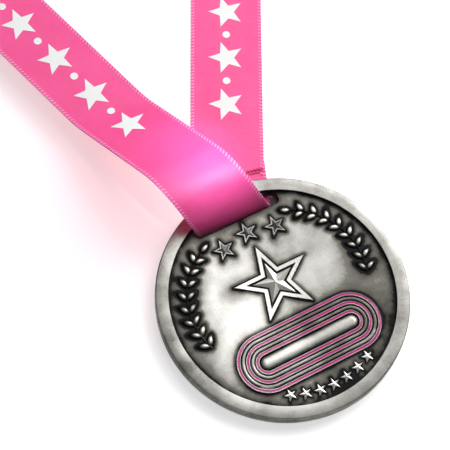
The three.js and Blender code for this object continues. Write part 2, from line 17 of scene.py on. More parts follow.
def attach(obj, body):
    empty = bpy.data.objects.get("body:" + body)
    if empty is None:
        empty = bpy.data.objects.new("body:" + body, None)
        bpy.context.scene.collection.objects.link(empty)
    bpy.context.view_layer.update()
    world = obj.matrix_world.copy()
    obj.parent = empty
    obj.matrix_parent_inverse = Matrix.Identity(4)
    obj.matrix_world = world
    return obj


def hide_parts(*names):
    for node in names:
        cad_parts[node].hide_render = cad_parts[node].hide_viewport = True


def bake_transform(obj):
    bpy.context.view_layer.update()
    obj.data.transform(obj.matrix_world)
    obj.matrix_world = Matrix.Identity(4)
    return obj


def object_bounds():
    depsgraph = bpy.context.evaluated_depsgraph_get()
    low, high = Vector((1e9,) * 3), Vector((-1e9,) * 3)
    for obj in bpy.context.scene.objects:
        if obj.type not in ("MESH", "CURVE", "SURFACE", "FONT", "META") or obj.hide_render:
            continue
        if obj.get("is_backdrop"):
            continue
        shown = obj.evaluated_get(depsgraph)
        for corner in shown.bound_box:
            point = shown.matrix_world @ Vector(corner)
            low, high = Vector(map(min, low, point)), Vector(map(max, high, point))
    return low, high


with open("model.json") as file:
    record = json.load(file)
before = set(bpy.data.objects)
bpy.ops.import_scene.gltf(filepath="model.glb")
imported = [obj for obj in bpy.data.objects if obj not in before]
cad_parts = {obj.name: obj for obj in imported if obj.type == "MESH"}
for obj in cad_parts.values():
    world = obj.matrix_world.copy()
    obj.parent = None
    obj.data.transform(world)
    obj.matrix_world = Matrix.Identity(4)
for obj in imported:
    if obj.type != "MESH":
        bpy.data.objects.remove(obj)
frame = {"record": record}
size = {"cad": [[float(x) for x in corner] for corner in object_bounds()]}

MM = 0.001
DEGREE = math.pi / 180

# The camera, at the photograph's viewing angle
CAMERA_PLACE = (-104.1, -106.3, 385.5)
CAMERA_TURN = (23.09, -3.777, -28.347)
CAMERA_LENS = 120
CAMERA_SENSOR = 36

# The casting
MEDAL_RADIUS = 35
MEDAL_THICKNESS = 4.3
RIM_WIDTH = 3.65
RIM_DEPTH = 1.1
RIM_EDGE_RADIUS = 0.5
RIM_FOOT_RADIUS = 0.35
RIM_INNER_EDGE = 0.14
BACK_CHAMFER = 0.5
RECESS_RADIUS = 22.5
RECESS_DEPTH = 0.6
SLOT_LENGTH = 26
SLOT_HEIGHT = 3.7
SLOT_CORNER = 1.2
SLOT_BAR = 6.2
SLOT_EDGE_ROUND = 0.22
RIM_Z = MEDAL_THICKNESS - RECESS_DEPTH
FIELD_Z = RIM_Z - RIM_DEPTH
FIELD_RADIUS = MEDAL_RADIUS - RIM_WIDTH
SLOT_MIDDLE = MEDAL_RADIUS - SLOT_BAR - SLOT_HEIGHT / 2
BOTTOM_Z = -RECESS_DEPTH
RIM_CROWN = 0.02
AXIS_RADIUS = 0.02
CUT_ROOM = 1
FIELD_GRID = 0.45
ROUND_STEPS = 360

# The relief
SINK = 0.2
STAR_SHARE = math.sin(18 * DEGREE) / math.sin(54 * DEGREE)
STAR_Y = 4.4
STAR_RADIUS = 6.3
STAR_HEIGHT = 1.0
STAR_EDGE = 0.35
STAR_CORNER_DROP = 0.05
STAR_CORNER_IN = 0.04
OUTLINE_RADIUS = 11.6
OUTLINE_WIDTH = 1.1
OUTLINE_HEIGHT = 0.5
BAND_CORNER = 0.08
INSET_RADIUS = 2.1
INSET_BORDER = 0.38
INSET_HEIGHT = 0.5
INSET_DISTANCE = 20.7
INSET_SPREAD = 23 * DEGREE
DOT_COUNT = 7
DOT_RADIUS = 1.85
DOT_DISTANCE = 28.2
DOT_PITCH = 4.1
DOT_HEIGHT = 0.6
DOT_EDGE = 0.42
TRACK_Y = -14.9
TRACK_STRAIGHT = 26
TRACK_RADIUS = 7.9
TRACK_PITCH = 2.55
TRACK_LINES = 3
LINE_WIDTH = 1
LINE_HEIGHT = 0.5
LINE_CORNER = 0.05
ENAMEL_WIDTH = 0.62
ENAMEL_DEPTH = 0.36
ENAMEL_GAP = 0.02
ENAMEL_DROP = 0.05
ENAMEL_HOLLOW = 0.04
POOL_EDGE_IN = 0.15
POOL_EDGE_DROP = 0.03
LANE_HEIGHT = 0.45
LANE_ROOM = 0.1
INFIELD_HEIGHT = LANE_HEIGHT * 1.2
LAUREL_BASE = -9.5 * DEGREE
LAUREL_TIP = 56 * DEGREE
LAUREL_REACH = 24.8
LAUREL_OPENING = 0.8
LAUREL_BOW = 1.1
STEM_WIDTH = 0.46
STEM_HEIGHT = 0.4
LEAF_PAIRS = 8
LEAF_LENGTH = 4.1
LEAF_WIDTH = 2.05
LEAF_HEIGHT = 0.66
LEAF_SPREAD = 46 * DEGREE
LEAF_ARCH = 72 * DEGREE
LEAF_BOW = 0.3
TIP_LEAF_BOW = 0.1

# The patina, from 0 to 1, with painted shade on the side wall and in the slot, and the heights over
# which the relief brightens
BACK_PATINA = 0.22
# The slot's walls: patina, made near black as painted shade
SLOT_PATINA_AND_SHADE = 0.97
# Painted shade: the side wall is made dark, as it looks in shade
WALL_PAINTED_SHADE = 0.7
RIM_PATINA = 0.85
RIM_POLISH = 0.64
RELIEF_PATINA = 0.95
RELIEF_POLISH = (0.15, 0.62)
STAR_POLISH = (0.1, 0.45)
LEAF_POLISH = (0.28, 0.74)
DOT_POLISH = (0.02, 0.2)
LEAVES_BESIDE = 11
LEAVES_ABOVE = -7.5
LEAVES_BEYOND = 20.5
DOTS_BELOW = -20
# The bearing towards which the field darkens more widely along the rim
DARKER_SIDE_BEARING = -40 * DEGREE

# The ribbon, as in the CAD model
RIBBON_WIDTH = 20.8
RIBBON_THICKNESS = 0.4
RIBBON_LENGTH = 900
WRAP_ANGLE = 19.1 * DEGREE
WRAP_SKEW = -2.9 * DEGREE
SLOT_BEND = 1.2
HUMP_SINK = 0.11
HUMP_RADIUS = 13
HUMP_FALL = 21 * DEGREE
LANDING_RADIUS = 20
BACK_LEAN = 28 * DEGREE
END_ROOM = 0.2
SLOT_GAP = 0.25
FOLDED_RUNS = 7
FOLD_PITCH = 0.85
FOLD_DISTANCE = 132
SEAM_DISTANCE = 39.3
SEAM_TURN = -12 * DEGREE
TAIL_LENGTH = 4.4
SEAM_MARGIN = 0.65
SEAM_SHIFT = -0.83
PLY_GAP = 0.05
RISE_LENGTH = 12
RISE_RADIUS = 40
THREAD_RADIUS = 0.15
THREAD_SIDES = 8
STITCH_PITCH = 0.95
STITCH_STEPS = 16
STITCH_SWAY = 0.8
STITCH_BOB = 0.05
STITCH_EDGE_ROOM = 0.2

# The ribbon's finer pieces
BEND_STEP = 6 * DEGREE
ROW_PITCH = 1.1
SWING_REACH = 100
SELVEDGE_PITCH = 1.05
SELVEDGE_HALF_STEP = 0.24
SELVEDGE_END_ROOM = 1.2
SELVEDGE_REACH = 0.95
SELVEDGE_OVERHANG = 0.14
SELVEDGE_PROUD = 0.07
PRINT_PITCH = 15.5
PRINT_RADIUS = 5.4
PRINT_SHARE = STAR_SHARE * 1.12
PRINT_DOT_RADIUS = 1.15
PRINT_DOT_ROOM = 1.5
PRINT_LIFT = 0.075
PRINT_RINGS = 10
PRINT_START_ROOM = 45
PRINT_END_ROOM = 22
PRINT_STEEPEST_BEND = 60 * DEGREE

# Colours
WARM_SILVER = (0.64, 0.62, 0.575, 1)
COOL_SILVER = (0.72, 0.715, 0.70, 1)
OLIVE = (0.17, 0.163, 0.14, 1)
SOOT = (0.012, 0.012, 0.012, 1)
# The tint of the floor's painted pink shadow beside the hump
PINK_SHADOW_TINT = (0.98, 0.55, 0.64, 1)

MOUNT_AXIS = Vector(frame["record"]["mounts"][0]["axis"])
LEANED = Matrix.Rotation(math.atan2(MOUNT_AXIS.y, -MOUNT_AXIS.z), 3, "X")
TABLE_Z = size["cad"][0][2] / MM


class Shells:
    """Closed shells gathered into one mesh, in millimetres."""

    def __init__(self):
        self.points = []
        self.faces = []

    def add(self, points, faces):
        first = len(self.points)
        self.points.extend(tuple(point) for point in points)
        self.faces.extend([first + i for i in face] for face in faces)

    def loft(self, rings, ring_of_rings=False):
        """A shell through rings of equally many points, closed by its end rings or on itself."""
        rings = np.asarray(rings, float)
        count, around = rings.shape[:2]
        faces = []
        for r in range(count if ring_of_rings else count - 1):
            a = r * around
            b = ((r + 1) % count) * around
            for i in range(around):
                j = (i + 1) % around
                faces.append((a + i, a + j, b + j, b + i))
        if not ring_of_rings:
            faces.append(tuple(reversed(range(around))))
            faces.append(tuple((count - 1) * around + i for i in range(around)))
        self.add(rings.reshape(-1, 3), faces)

    def piece(self, name, material, turn=None, sharp=14 * DEGREE):
        """An object made of the shells, with their faces turned out."""
        points = np.array(self.points) * MM
        if turn is not None:
            points = points @ np.array(turn).T
        mesh = bpy.data.meshes.new(name)
        mesh.from_pydata(points.tolist(), [], self.faces)
        work = bmesh.new()
        work.from_mesh(mesh)
        bmesh.ops.remove_doubles(work, verts=work.verts, dist=1e-7)
        bmesh.ops.recalc_face_normals(work, faces=work.faces)
        work.to_mesh(mesh)
        work.free()
        return smooth_piece(mesh, name, material, sharp)


def smooth_piece(mesh, name, material, sharp):
    """An object from a mesh, smooth but at its sharp edges."""
    mesh.shade_smooth()
    mesh.set_sharp_from_angle(angle=sharp)
    mesh.materials.append(material)
    piece = bpy.data.objects.new(name, mesh)
    bpy.context.scene.collection.objects.link(piece)
    return piece


class Shader:
    """A material's node tree round its Principled shader."""

    def __init__(self, name):
        self.material = bpy.data.materials.new(name)
        self.material.use_nodes = True
        self.tree = self.material.node_tree
        self.surface = self.tree.nodes["Principled BSDF"]
        self.output = self.tree.nodes["Material Output"]

    def feed(self, socket, value):
        if isinstance(value, bpy.types.NodeSocket):
            self.tree.links.new(value, socket)
        else:
            socket.default_value = value

    def node(self, kind, settings=None, **inputs):
        made = self.tree.nodes.new("ShaderNode" + kind)
        for name, value in (settings or {}).items():
            setattr(made, name, value)
        for name, value in inputs.items():
            self.feed(made.inputs[name.replace("_", " ")], value)
        return made

    def set(self, **inputs):
        for name, value in inputs.items():
            self.feed(self.surface.inputs[name.replace("_", " ")], value)

    def sum(self, operation, *values):
        made = self.node("Math", {"operation": operation})
        for socket, value in zip(made.inputs, values):
            self.feed(socket, value)
        return made.outputs[0]

    def attribute(self, name, output):
        return self.node("Attribute", {"attribute_name": name}).outputs[output]

    def span(self, value, low, high, to_low=0.0, to_high=1.0):
        made = self.node("MapRange", Value=value, From_Min=low, From_Max=high)
        self.feed(made.inputs["To Min"], to_low)
        self.feed(made.inputs["To Max"], to_high)
        return made.outputs["Result"]

    def spread(self, noise, to_low=0.0, to_high=1.0):
        """Maps the middle of a noise's range to another range."""
        return self.span(noise, 0.3, 0.7, to_low, to_high)

    def mix(self, share, first, second):
        made = self.node("Mix", {"data_type": "RGBA"})
        self.feed(made.inputs[0], share)
        self.feed(made.inputs[6], first)
        self.feed(made.inputs[7], second)
        return made.outputs[2]

    def length(self, vector):
        return self.node("VectorMath", {"operation": "LENGTH"}, Vector=vector).outputs["Value"]

    def noise(self, vector, scale, detail=3.0, roughness=0.5):
        made = self.node("TexNoise", Vector=vector, Scale=scale, Detail=detail)
        self.feed(made.inputs["Roughness"], roughness)
        return made.outputs["Fac"]

    def stretched_noise(self, vector, scale, detail, turn=0.0):
        """A noise with its own scale along each axis, turned about the vertical."""
        made = self.node("Mapping", Vector=vector, Rotation=(0, 0, turn), Scale=scale)
        return self.noise(made.outputs["Vector"], 1.0, detail)

    def place(self):
        return self.node("TexCoord").outputs["Object"]

    def bump(self, height, distance, strength=1.0, normal=None):
        made = self.node("Bump", Height=height, Distance=distance, Strength=strength)
        if normal is not None:
            self.feed(made.inputs["Normal"], normal)
        return made.outputs["Normal"]


def grey(value):
    return (value, value, value, 1)


# Materials


def casting_material():
    """Antique silver: smoky where the relief shelters it, polished where it stands proud, with
    painted shade on the side wall and in the slot.
    """
    shader = Shader("casting")
    place = shader.place()
    # The patina attribute holds the plating's patina and the painted shade on the side wall and in
    # the slot
    shelter = shader.attribute("patina", "Fac")
    cloud = shader.noise(place, scale=70.0)
    smoke = shader.noise(place, scale=260.0, detail=4.0, roughness=0.6)
    fleck = shader.noise(place, scale=1500.0, detail=2.0, roughness=0.6)
    amount = shader.sum("MULTIPLY", shelter, shader.spread(smoke, 0.85, 1.25))
    amount = shader.sum("ADD", amount, shader.span(cloud, 0.42, 0.72, 0.0, 0.3))
    amount = shader.sum("ADD", amount, shader.span(fleck, 0.5, 0.8, 0.0, 0.08))
    brushing = shader.stretched_noise(place, (5200, 170, 300), detail=2.0, turn=-28 * DEGREE)
    silver = shader.mix(cloud, WARM_SILVER, COOL_SILVER)
    silver = shader.mix(shader.spread(brushing, 0.0, 0.2), silver, grey(0.42))
    colour = shader.mix(shader.span(amount, 0.05, 0.5), silver, OLIVE)
    colour = shader.mix(shader.span(amount, 0.42, 0.95), colour, SOOT)
    roughness = shader.spread(brushing, 0.25, 0.34)
    roughness = shader.sum("MULTIPLY_ADD", shader.span(amount, 0.05, 0.95), 0.15, roughness)
    flat = shader.node("VectorMath", {"operation": "MULTIPLY"}, Vector=place)
    flat.inputs[1].default_value = (1, 1, 0)
    out = shader.length(flat.outputs[0])
    groove = shader.node("TexNoise", {"noise_dimensions": "1D"}, W=out, Scale=6500.0, Detail=1.0)
    edge = FIELD_RADIUS * MM
    on_rim = shader.span(out, edge, edge + 0.2 * MM)
    turning = shader.sum("MULTIPLY", groove.outputs["Fac"], on_rim)
    grain = shader.bump(turning, distance=0.03 * MM, strength=0.5)
    grain = shader.bump(brushing, distance=0.006 * MM, strength=0.3, normal=grain)
    grain = shader.bump(smoke, distance=0.06 * MM, strength=0.25, normal=grain)
    shader.set(Base_Color=colour, Metallic=1.0, Roughness=roughness, Normal=grain)
    return shader.material


def enamel_material(name, deep, light):
    """Soft enamel: a glossy pool with a faint swirl in its colour."""
    shader = Shader(name)
    place = shader.place()
    swirl = shader.noise(place, scale=700.0, detail=2.0)
    shader.set(Base_Color=shader.mix(swirl, deep, light), Roughness=0.16)
    shader.set(Coat_Weight=0.5, Coat_Roughness=0.08)
    ripple = shader.noise(place, scale=1100.0, detail=2.0)
    shader.set(Normal=shader.bump(ripple, distance=0.03 * MM, strength=0.3))
    return shader.material


def satin_material(name, colour, deep):
    """Woven satin, with long floats along the strip and fine ribs across it."""
    shader = Shader(name)
    strip = shader.attribute("strip", "Vector")
    parts = shader.node("SeparateXYZ", Vector=strip).outputs
    rib_pitch = 0.55
    float_pitch = 0.4
    ribs = shader.sum("SINE", shader.sum("MULTIPLY", parts["X"], 2 * math.pi / rib_pitch))
    floats = shader.sum("SINE", shader.sum("MULTIPLY", parts["Y"], 2 * math.pi / float_pitch))
    weave = shader.sum("MULTIPLY_ADD", floats, 0.6, ribs)
    slub = shader.stretched_noise(strip, (3.2, 0.3, 1), detail=3.0)
    broad = shader.noise(strip, scale=0.09, detail=2.0)
    tone = shader.sum("MULTIPLY_ADD", slub, 0.55, shader.sum("MULTIPLY", broad, 0.45))
    tone = shader.sum("MULTIPLY_ADD", weave, 0.03, tone)
    shader.set(Base_Color=shader.mix(shader.spread(tone), deep, colour))
    shader.set(Roughness=shader.spread(slub, 0.38, 0.46))
    cloth = shader.bump(weave, distance=0.03 * MM, strength=0.35)
    cloth = shader.bump(broad, distance=1.2 * MM, strength=0.35, normal=cloth)
    cloth = shader.bump(slub, distance=0.06 * MM, strength=0.3, normal=cloth)
    shader.set(Normal=cloth)
    shader.set(Sheen_Weight=0.06, Sheen_Roughness=0.35, Sheen_Tint=(0.8, 0.6, 1.0, 1))
    shader.set(Specular_IOR_Level=0.55, Specular_Tint=(0.9, 0.88, 1.0, 1))
    return shader.material


def print_material():
    """White ink that has sunk a little into the weave."""
    shader = Shader("white_print")
    weave = shader.noise(shader.attribute("strip", "Vector"), scale=3.0, detail=2.0)
    shader.set(Base_Color=shader.mix(weave, grey(0.86), grey(0.95)), Roughness=0.55)
    shader.set(Normal=shader.bump(weave, distance=0.02 * MM, strength=0.4))
    return shader.material


CASTING = casting_material()
PINK_ENAMEL = enamel_material("pink_enamel", (0.42, 0.02, 0.17, 1), (0.6, 0.04, 0.26, 1))
BLACK_ENAMEL = enamel_material("black_enamel", (0.006, 0.006, 0.007, 1), (0.012, 0.012, 0.014, 1))
SATIN = satin_material("ribbon_satin", (1.0, 0.095, 0.34, 1), (0.96, 0.068, 0.28, 1))
SELVEDGE = satin_material("selvedge", (1.0, 0.34, 0.66, 1), (1.0, 0.24, 0.55, 1))
PRINT = print_material()
THREAD = satin_material("thread", (0.62, 0.03, 0.14, 1), (0.45, 0.015, 0.08, 1))


# The casting


def level(angle):
    """A level heading."""
    return np.array([math.cos(angle), math.sin(angle), 0.0])


def arc(centre, radius, start, end, steps):
    """Points of a profile's round corner, as distance out and height."""
    angles = np.linspace(start * DEGREE, end * DEGREE, steps)
    return [(centre[0] + radius * math.cos(a), centre[1] + radius * math.sin(a)) for a in angles]


def casting_profile():
    """The casting's section from the middle of its back round to the middle of its field."""
    edge = RIM_EDGE_RADIUS
    inner = RIM_INNER_EDGE
    foot = RIM_FOOT_RADIUS
    chamfer = BACK_CHAMFER
    profile = [(AXIS_RADIUS, 0), (RECESS_RADIUS / 2, 0), (RECESS_RADIUS - foot, 0)]
    profile += arc((RECESS_RADIUS - foot, -foot), foot, 90, 0, 5)
    profile += arc((RECESS_RADIUS + inner, BOTTOM_Z + inner), inner, 180, 270, 4)
    profile += arc((MEDAL_RADIUS - chamfer, BOTTOM_Z + chamfer), chamfer, 270, 360, 6)
    profile += [(MEDAL_RADIUS, (BOTTOM_Z + RIM_Z) / 2)]
    profile += arc((MEDAL_RADIUS - edge, RIM_Z - edge), edge, 0, 90, 7)
    profile += [(FIELD_RADIUS + RIM_WIDTH / 2, RIM_Z + RIM_CROWN)]
    profile += arc((FIELD_RADIUS + inner, RIM_Z - inner), inner, 90, 180, 5)
    profile += arc((FIELD_RADIUS - foot, FIELD_Z + foot), foot, 0, -90, 6)
    steps = round(FIELD_RADIUS / FIELD_GRID)
    for step in range(steps - 1, 0, -1):
        profile.append((FIELD_RADIUS * step / steps, FIELD_Z))
    profile.append((AXIS_RADIUS, FIELD_Z))
    return profile


def turned(profile, steps):
    """The rings that a profile sweeps about the medal's axis."""
    angles = np.linspace(0, 2 * math.pi, steps, endpoint=False)
    flat = np.stack([np.cos(angles), np.sin(angles)], 1)
    return [np.column_stack([flat * out, np.full(steps, height)]) for out, height in profile]


def slot_ring(offset, height, steps=8):
    """The slot's outline, moved outwards by an offset."""
    radius = SLOT_CORNER + offset
    x = SLOT_LENGTH / 2 - SLOT_CORNER
    y = SLOT_HEIGHT / 2 - SLOT_CORNER
    points = []
    for corner, (side, end) in enumerate([(1, 1), (-1, 1), (-1, -1), (1, -1)]):
        for angle in np.linspace(corner * 90, corner * 90 + 90, steps) * DEGREE:
            across = side * x + radius * math.cos(angle)
            up = SLOT_MIDDLE + end * y + radius * math.sin(angle)
            points.append((across, up, height))
    return points


def slot_cutter():
    """A prism through the casting that flares at both faces, to ease the slot's edges."""
    edge = SLOT_EDGE_ROUND
    section = []
    for angle in (0, 31.5, 63, 90):
        drop = edge * math.cos(angle * DEGREE)
        section.append((edge - drop, drop))
    outlines = [slot_ring(edge, BOTTOM_Z - CUT_ROOM)]
    outlines += [slot_ring(flare, BOTTOM_Z + drop) for flare, drop in reversed(section)]
    outlines += [slot_ring(flare, FIELD_Z - drop) for flare, drop in section]
    outlines += [slot_ring(edge, RIM_Z + CUT_ROOM)]
    cutter = Shells()
    cutter.loft(outlines)
    return cutter


def star_points(centre, radius, height):
    """The outline of a five-pointed star."""
    points = []
    for i in range(10):
        reach = radius * (STAR_SHARE if i % 2 else 1)
        angle = math.pi / 2 + i * math.pi / 5
        x, y = centre[0] + reach * math.cos(angle), centre[1] + reach * math.sin(angle)
        points.append((x, y, height))
    return points


def star_offset(radius, offset):
    """The radius of a star whose sides lie an offset further out."""
    return radius + offset / math.sin(18 * DEGREE)


def faceted_star(shells, centre, radius, edge, height):
    """A star with an upright edge, whose ten facets rise to its middle."""
    low = star_points(centre, radius, FIELD_Z - SINK)
    wall = star_points(centre, radius, FIELD_Z + edge - STAR_CORNER_DROP)
    top = star_points(centre, star_offset(radius, -STAR_CORNER_IN), FIELD_Z + edge)
    points = low + wall + top + [(centre[0], centre[1], FIELD_Z + height)]
    faces = [tuple(reversed(range(10)))]
    for i in range(10):
        j = (i + 1) % 10
        faces.append((i, j, 10 + j, 10 + i))
        faces.append((10 + i, 10 + j, 20 + j, 20 + i))
        faces.append((20 + i, 20 + j, 30))
    shells.add(points, faces)


def star_band(shells, centre, radius, width, height):
    """A raised border round a star, with rounded edges. Its inner side lies on the star."""
    corner = min(BAND_CORNER, width / 4)
    section = [(0, -SINK), (0, height - corner), (corner, height), (width - corner, height)]
    section += [(width, height - corner), (width, -SINK)]
    rings = [
        star_points(centre, star_offset(radius, offset), FIELD_Z + up) for offset, up in section
    ]
    shells.loft(rings, ring_of_rings=True)


def stadium(radius, height, steps=36):
    """The outline of a running track at one radius of its round ends."""
    points = []
    for side in (1, -1):
        for angle in np.linspace(-90, 90, steps) * DEGREE:
            x = side * (TRACK_STRAIGHT / 2 + radius * math.cos(angle))
            points.append((x, TRACK_Y + side * radius * math.sin(angle), height))
    return points


def stadium_band(shells, middle, section):
    """A closed band round the track, from its section's distances out and heights."""
    rings = [stadium(middle + out, FIELD_Z + up) for out, up in section]
    shells.loft(rings, ring_of_rings=True)


def track_line(shells, middle):
    """A raised line of the track, with a channel in its top for the enamel."""
    half = LINE_WIDTH / 2
    channel = ENAMEL_WIDTH / 2
    floor = LINE_HEIGHT - ENAMEL_DEPTH
    shoulder = LINE_HEIGHT - LINE_CORNER
    side = [(half, -SINK), (half, shoulder), (half - LINE_CORNER, LINE_HEIGHT)]
    side += [(channel + LINE_CORNER / 2, LINE_HEIGHT), (channel, shoulder), (channel, floor)]
    stadium_band(shells, middle, side + [(-out, up) for out, up in reversed(side)])


def dome(share):
    """The height of a rounded pad, as a share, from its edge at 0 to its middle at 1."""
    return max(0.0, 1 - (1 - share) ** 2.4) ** 0.6


def track_lane(shells, inner, outer):
    """A padded lane between two lines of the track."""
    half = (outer - inner) / 2
    section = [(-half, -SINK)]
    for u in np.linspace(-1, 1, 15):
        section.append((half * u, LANE_HEIGHT * dome(1 - abs(u))))
    section.append((half, -SINK))
    stadium_band(shells, (inner + outer) / 2, section)


def track_infield(shells, radius):
    """The padded middle of the track."""
    rings = [stadium(radius, FIELD_Z - SINK), stadium(radius, FIELD_Z)]
    for share in (0.03, 0.08, 0.16, 0.28, 0.42, 0.6, 0.8, 0.99):
        rings.append(stadium(radius * (1 - share), FIELD_Z + INFIELD_HEIGHT * dome(share)))
    shells.loft(rings)


def line_radius(line):
    return TRACK_RADIUS - line * TRACK_PITCH


def inset_places():
    """The middles of the three small stars under the slot."""
    bearings = [math.pi / 2 - side * INSET_SPREAD for side in (-1, 0, 1)]
    return [INSET_DISTANCE * level(bearing)[:2] for bearing in bearings]


def laurel_point(share):
    """A point of the laurel's stem, from its base at 0 to its tip at 1."""
    bearing = LAUREL_BASE + (LAUREL_TIP - LAUREL_BASE) * share
    reach = LAUREL_REACH + LAUREL_OPENING * share + LAUREL_BOW * math.sin(math.pi * share)
    return reach * level(bearing)[:2]


def laurel_heading(share):
    step = laurel_point(share + 0.001) - laurel_point(share - 0.001)
    return math.atan2(step[1], step[0])


def laurel_stem(shells, mirror):
    """A half-round stem that tapers towards its tip."""
    rings = []
    for share in np.linspace(-0.012, 1.0, 40):
        point = laurel_point(share)
        across = level(laurel_heading(share) + math.pi / 2)[:2]
        half = STEM_WIDTH / 2 * (1.15 - 0.45 * share)
        ring = []
        for angle in np.linspace(0, 180, 7) * DEGREE:
            x, y = point + across * half * math.cos(angle)
            ring.append((mirror * x, y, FIELD_Z + STEM_HEIGHT * math.sin(angle)))
        for side in (-1, 1):
            x, y = point + across * half * side
            ring.append((mirror * x, y, FIELD_Z - SINK))
        rings.append(ring)
    shells.loft(rings)


def leaf(shells, root, heading, mirror, length, bow):
    """A domed leaf, plump near its root and a little bowed."""
    ahead = level(heading)[:2]
    across = np.array([-ahead[1], ahead[0]])
    floor = math.cos(LEAF_ARCH)
    rings = []
    for share in np.linspace(0, 1, 19):
        swell = math.sin(math.pi * share**0.85) ** 0.62 if 0 < share < 1 else 0.0
        half = max(LEAF_WIDTH / 2 * swell, 0.02)
        rise = LEAF_HEIGHT * max(swell, 0.05) ** 1.3
        middle = root + ahead * length * share + across * bow * math.sin(math.pi * share)
        ring = []
        for angle in np.linspace(-LEAF_ARCH, LEAF_ARCH, 17):
            x, y = middle + across * half * math.sin(angle) / math.sin(LEAF_ARCH)
            lift = (math.cos(angle) - floor) / (1 - floor)
            ring.append((mirror * x, y, FIELD_Z + rise * lift))
        for side in (1, -1):
            x, y = middle + across * half * side
            ring.append((mirror * x, y, FIELD_Z - SINK))
        rings.append(ring)
    shells.loft(rings)


def laurel(shells, mirror):
    """A laurel branch, with its leaves in pairs and one leaf at its tip."""
    laurel_stem(shells, mirror)
    for pair in range(LEAF_PAIRS):
        share = pair / LEAF_PAIRS
        length = LEAF_LENGTH * (1 - 0.06 * share)
        for side in (-1, 1):
            heading = laurel_heading(share) + side * LEAF_SPREAD
            leaf(shells, laurel_point(share), heading, mirror, length, -LEAF_BOW * side)
    tip_length = LEAF_LENGTH * 0.95
    leaf(shells, laurel_point(1), laurel_heading(1), mirror, tip_length, TIP_LEAF_BOW)


def relief():
    """Everything that is raised on the field, as shells that sink a little into it."""
    shells = Shells()
    faceted_star(shells, (0, STAR_Y), STAR_RADIUS, STAR_EDGE, STAR_HEIGHT)
    inner = OUTLINE_RADIUS - OUTLINE_WIDTH / math.sin(18 * DEGREE)
    star_band(shells, (0, STAR_Y), inner, OUTLINE_WIDTH, OUTLINE_HEIGHT)
    for place in inset_places():
        star_band(shells, place, INSET_RADIUS, INSET_BORDER, INSET_HEIGHT)
    for i in range(DOT_COUNT):
        bearing = -math.pi / 2 + (i - (DOT_COUNT - 1) / 2) * DOT_PITCH / DOT_DISTANCE
        place = DOT_DISTANCE * level(bearing)[:2]
        faceted_star(shells, place, DOT_RADIUS, DOT_EDGE, DOT_HEIGHT)
    beside = LINE_WIDTH / 2 + LANE_ROOM
    for line in range(TRACK_LINES):
        track_line(shells, line_radius(line))
        outer = line_radius(line) - beside
        if line < TRACK_LINES - 1:
            track_lane(shells, line_radius(line + 1) + beside, outer)
        else:
            track_infield(shells, outer)
    for mirror in (1, -1):
        laurel(shells, mirror)
    return shells


def outline_tree(raised):
    """The relief's outlines on the field, as a tree of closely spaced points."""
    points = np.array(raised.points)
    edges = set()
    for face in raised.faces:
        for a, b in zip(face, face[1:] + face[:1]):
            if max(points[a][2], points[b][2]) < FIELD_Z + 0.02:
                edges.add((min(a, b), max(a, b)))
    samples = []
    for a, b in edges:
        steps = max(1, math.ceil(np.linalg.norm(points[b] - points[a]) / FIELD_GRID))
        for step in range(steps):
            x, y, z = points[a] + (points[b] - points[a]) * step / steps
            samples.append((x, y, 0))
    tree = KDTree(len(samples))
    for i, sample in enumerate(samples):
        tree.insert(sample, i)
    tree.balance()
    return tree


def halo(distance, near, far, far_share):
    """The patina that a wall leaves beside it: a dark line and a wide smoky edge."""
    line = math.exp(-((distance / near) ** 2))
    return (1 - far_share) * line + far_share * math.exp(-distance / far)


def slot_room(x, y):
    """How far a place on the medal lies outside the slot."""
    across = max(0.0, abs(x) - SLOT_LENGTH / 2 + SLOT_CORNER)
    up = max(0.0, abs(y - SLOT_MIDDLE) - SLOT_HEIGHT / 2 + SLOT_CORNER)
    return math.hypot(across, up) - SLOT_CORNER


def polished_heights(x, y):
    """The heights over the field between which the relief at a place goes from dark to bright."""
    out = math.hypot(x, y)
    if y < DOTS_BELOW and out > DOT_DISTANCE - DOT_RADIUS:
        return DOT_POLISH
    if abs(x) > LEAVES_BESIDE and y > LEAVES_ABOVE and out > LEAVES_BEYOND:
        return LEAF_POLISH
    if math.hypot(x, y - STAR_Y) < OUTLINE_RADIUS:
        return STAR_POLISH
    return RELIEF_POLISH


def field_patina(x, y, tree):
    """The patina of the field: halos round the relief and the slot, and along the rim.

    The rim's halo is wider towards the medal's lower right.
    """
    to_relief = tree.find((x, y, 0))[2]
    to_rim = FIELD_RADIUS - math.hypot(x, y)
    to_slot = max(0.0, slot_room(x, y) - SLOT_EDGE_ROUND)
    towards_darker_side = max(0.0, math.cos(math.atan2(y, x) - DARKER_SIDE_BEARING))
    relief_halo = halo(to_relief, 0.8, 2.8, 0.36)
    rim_halo = halo(to_rim, 1.2, 4.2 + 4.5 * towards_darker_side, 0.5 + 0.2 * towards_darker_side)
    slot_halo = halo(to_slot, 0.9, 2.5, 0.5)
    return 1 - (1 - relief_halo) * (1 - 0.9 * rim_halo) * (1 - 0.5 * slot_halo)


